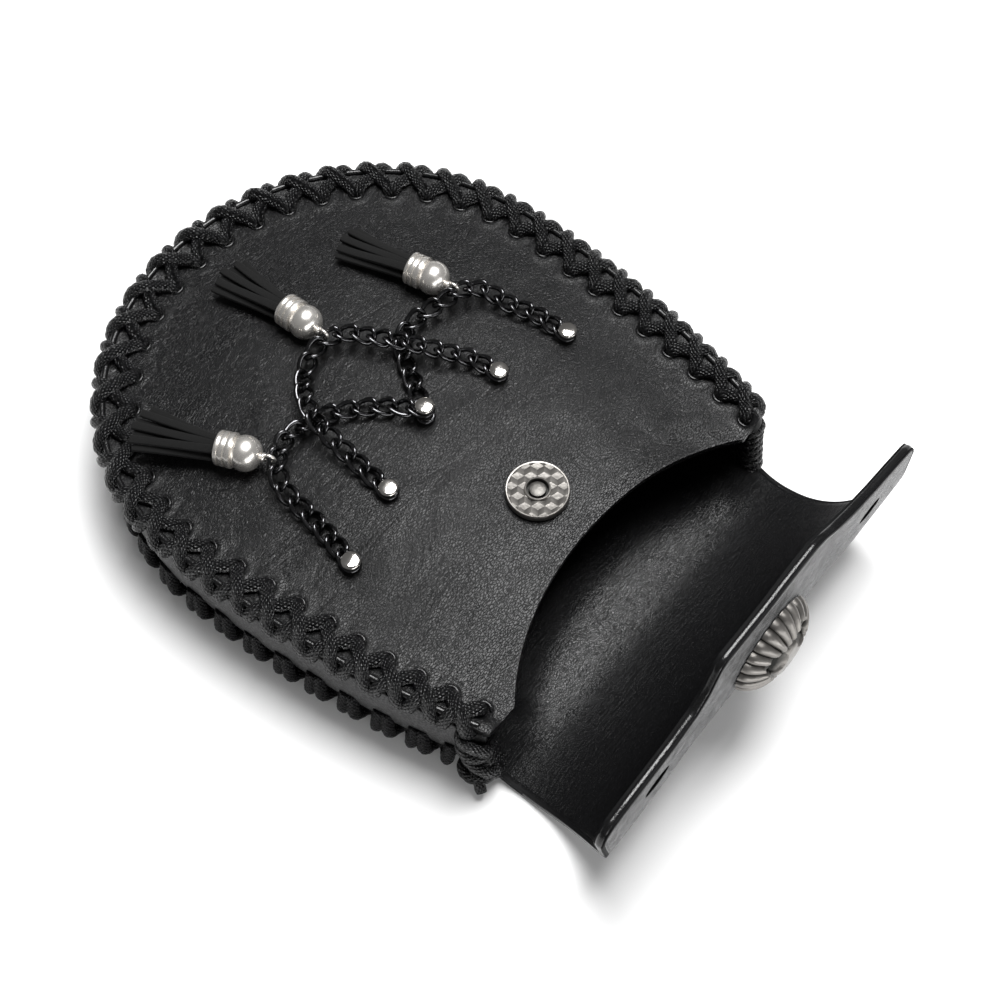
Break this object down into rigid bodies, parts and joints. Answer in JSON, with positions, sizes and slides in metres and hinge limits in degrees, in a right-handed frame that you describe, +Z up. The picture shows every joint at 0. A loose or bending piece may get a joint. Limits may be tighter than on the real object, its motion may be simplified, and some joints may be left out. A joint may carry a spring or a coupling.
{
  "type": "belt pouch",
  "caption": "Black leather belt pouch with a half-round bottom, laced gusset, open flap with a cast boss, magnetic snap, chain swags and fringed tassels.",
  "frame": {"origin": "on the floor under the middle of the pouch's box, as it lies on its back", "axes": "+Z up out of the front panel, +Y out of the mouth towards the flap, +X across the mouth"},
  "size_m": [0.1584, 0.2228, 0.061],
  "materials": {
    "black_leather": "satin",
    "waxed_cord": "waxed",
    "black_suede": "napped",
    "polished_nickel": "polished",
    "antique_nickel": "antiqued",
    "gunmetal": "polished gunmetal plating"
  },
  "bodies": {
    "root": {"front_panel": "black_leather", "gusset": "black_leather", "back_flap": "black_leather", "front_lacing": "waxed_cord", "back_lacing": "waxed_cord", "corner_binding_1": "waxed_cord", "corner_binding_2": "waxed_cord", "rivet_1": "polished_nickel", "rivet_2": "polished_nickel", "rivet_3": "polished_nickel", "rivet_4": "polished_nickel", "rivet_5": "polished_nickel", "snap_plate": "antique_nickel", "flap_boss": "antique_nickel", "clasp_stud": "polished_nickel", "chain_a": "gunmetal", "chain_b": "gunmetal", "chain_c": "gunmetal", "tassel_cap_1": "polished_nickel", "tassel_cap_2": "polished_nickel", "tassel_cap_3": "polished_nickel", "tassel_fringe_1": "black_suede", "tassel_fringe_2": "black_suede", "tassel_fringe_3": "black_suede"}
  },
  "joints": []
}
